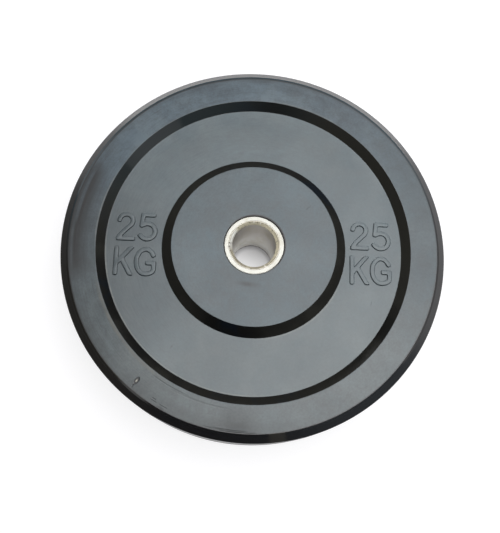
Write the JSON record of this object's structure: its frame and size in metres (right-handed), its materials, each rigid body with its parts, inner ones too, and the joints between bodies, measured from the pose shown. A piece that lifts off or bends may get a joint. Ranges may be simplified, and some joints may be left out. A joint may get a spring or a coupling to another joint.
{
  "type": "bumper plate",
  "caption": "Round solid rubber weight plate with raised rims, recessed webs and a proud hub, on a steel sleeve insert with a central bore.",
  "frame": {"origin": "centre of the rear hub face, which the plate lies on", "axes": "+Z along the bore from the rear face to the front face, +X to the right along the lettering's lines on the front face, +Y up the lettering"},
  "size_m": [0.45, 0.45, 0.095],
  "materials": {
    "black_rubber": "moulded black rubber with a pale grey bloom on the flat faces and darker slopes",
    "bright_steel": "bright faced steel",
    "dull_steel": "plain bored steel, warm grey"
  },
  "bodies": {
    "root": {"rubber_disc": "black_rubber", "sleeve_tube": "dull_steel", "front_collar": "bright_steel", "rear_collar": "bright_steel", "anchor_plate": "dull_steel", "front_anchor_weld": "dull_steel", "rear_anchor_weld": "dull_steel"}
  },
  "joints": []
}
